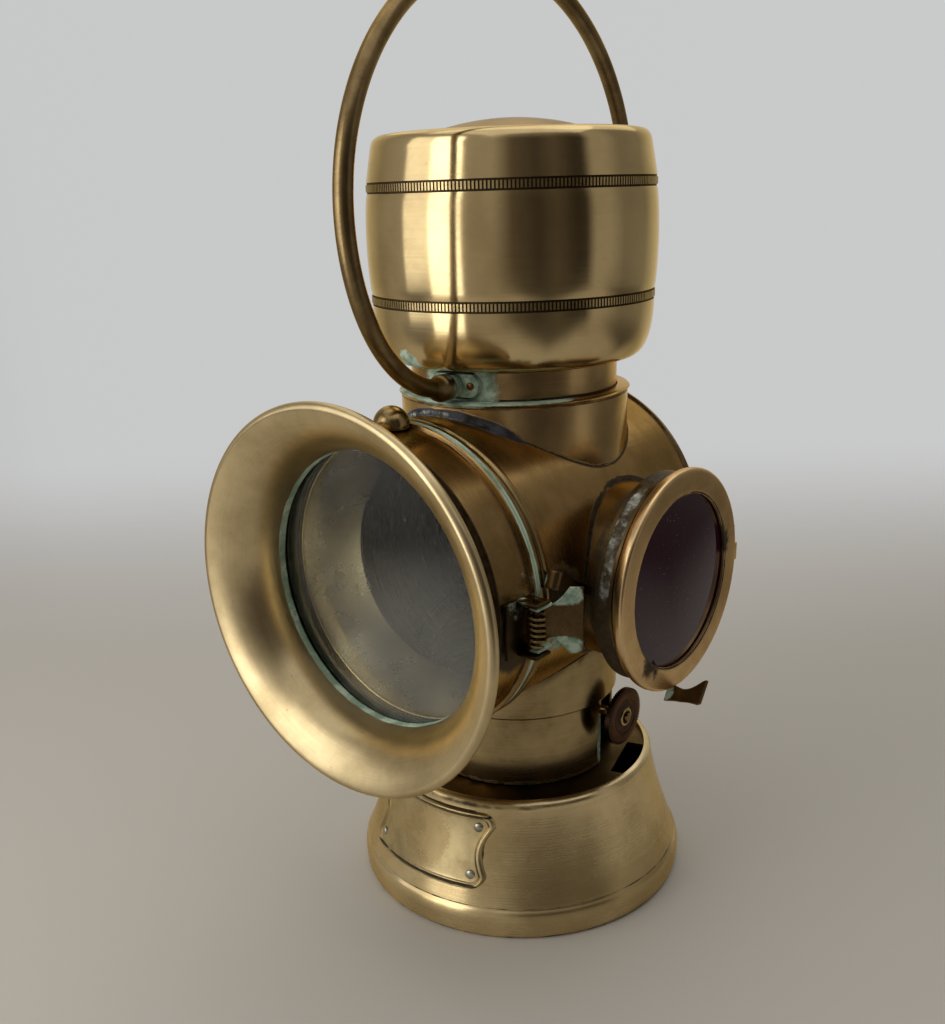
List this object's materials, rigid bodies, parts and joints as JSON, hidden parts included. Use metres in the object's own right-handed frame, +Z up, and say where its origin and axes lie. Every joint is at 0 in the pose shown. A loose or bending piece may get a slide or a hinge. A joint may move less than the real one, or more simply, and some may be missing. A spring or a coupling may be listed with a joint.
{
  "type": "oil side lamp",
  "caption": "Brass oil lamp with a flared front hood and hinged glass door, ruby side light, ventilated drum cap, flared tank foot and swinging bail handle.",
  "frame": {"origin": "on the lamp's upright axis at the underside of the foot", "axes": "+Z up, the front glass faces -Y and the ruby light faces +X"},
  "size_m": [0.1178, 0.1501, 0.2644],
  "materials": {
    "brass": "aged satin brass",
    "polished_brass": "polished brass with fine scratches",
    "dark_brass": "tarnished brown brass",
    "copper_brown": "dark copper brown, milled edge",
    "silvered": "dulled silver plate",
    "clear_glass": "flat clear glass",
    "ruby_glass": "deep ruby glass",
    "cotton": "flat woven cotton wick"
  },
  "bodies": {
    "base": {"base_skirt": "brass", "base_plate": "brass", "tank_top": "dark_brass", "burner_collar": "dark_brass", "burner_cone": "dark_brass", "wick_tube": "dark_brass", "name_plate": "brass"},
    "wick_winder": {"winder_spindle": "dark_brass", "winder_wheel": "dark_brass", "wick_knob": "copper_brown"},
    "wick": {"wick": "cotton"},
    "lamp_body": {"lower_tube": "brass", "drum_shell": "brass", "front_ring": "brass", "back_plate": "dark_brass", "reflector_cone": "silvered", "reflector_dish": "silvered", "bracket_socket": "dark_brass", "chimney_tube": "brass", "neck_collar": "brass", "inner_flue": "dark_brass", "cap_bowl": "polished_brass", "cap_band_lower": "polished_brass", "cap_barrel": "polished_brass", "cap_band_upper": "polished_brass", "cap_lid": "polished_brass", "cap_dome": "polished_brass", "bail_lug_front": "dark_brass", "bail_lug_rear": "dark_brass", "ruby_neck": "brass", "ruby_hinge_bracket": "dark_brass", "ruby_hinge_pin": "dark_brass", "door_hinge_leaf_fixed": "dark_brass", "door_hinge_pin": "dark_brass", "catch_keeper": "dark_brass"},
    "front_door": {"door_barrel": "dark_brass", "door_hood": "brass", "front_glass": "clear_glass", "glass_ring": "dark_brass", "vent_cowl": "brass", "door_hinge_leaf": "dark_brass", "catch_bracket": "dark_brass", "catch_pin": "dark_brass", "catch_spring": "dark_brass"},
    "catch_thumb": {"catch_lever": "dark_brass"},
    "ruby_door": {"ruby_bezel": "brass", "ruby_glass": "ruby_glass", "ruby_retainer": "dark_brass", "ruby_tab": "dark_brass"},
    "bail": {"bail_handle": "brass"}
  },
  "joints": [
    {"name": "body_twist", "type": "hinge", "parent": "base", "child": "lamp_body", "pos_m": [0, 0, 0.0609], "axis": [0, 0, -1], "range_deg": [0, 20]},
    {"name": "winder_turn", "type": "hinge", "parent": "base", "child": "wick_winder", "pos_m": [0, 0.0053, 0.056], "axis": [-1, 0, 0], "range_deg": [-110, 110]},
    {"name": "wick_slide", "type": "slide", "parent": "base", "child": "wick", "axis": [0, 0, 1], "range_m": [-0.007, 0.007]},
    {"name": "front_door_hinge", "type": "hinge", "parent": "lamp_body", "child": "front_door", "pos_m": [-0.0469, -0.04665, 0.1086], "axis": [0, 0, -1], "range_deg": [0, 110]},
    {"name": "catch_press", "type": "hinge", "parent": "front_door", "child": "catch_thumb", "pos_m": [0.0468, -0.053, 0.1065], "axis": [0, 0, -1], "range_deg": [0, 18], "stiffness_Nm_per_rad": 0.02, "springref_deg": -20.05},
    {"name": "ruby_door_hinge", "type": "hinge", "parent": "lamp_body", "child": "ruby_door", "pos_m": [0.0533, 0.033, 0.1054], "axis": [0, 0, 1], "range_deg": [0, 100]},
    {"name": "bail_swing", "type": "hinge", "parent": "lamp_body", "child": "bail", "pos_m": [0, 0, 0.1588], "axis": [0.1045, -0.9945, 0], "range_deg": [-95, 80]}
  ],
  "couplings": [
    {"joint": "wick_slide", "follows": "winder_turn", "m_per_rad": 0.0036}
  ]
}
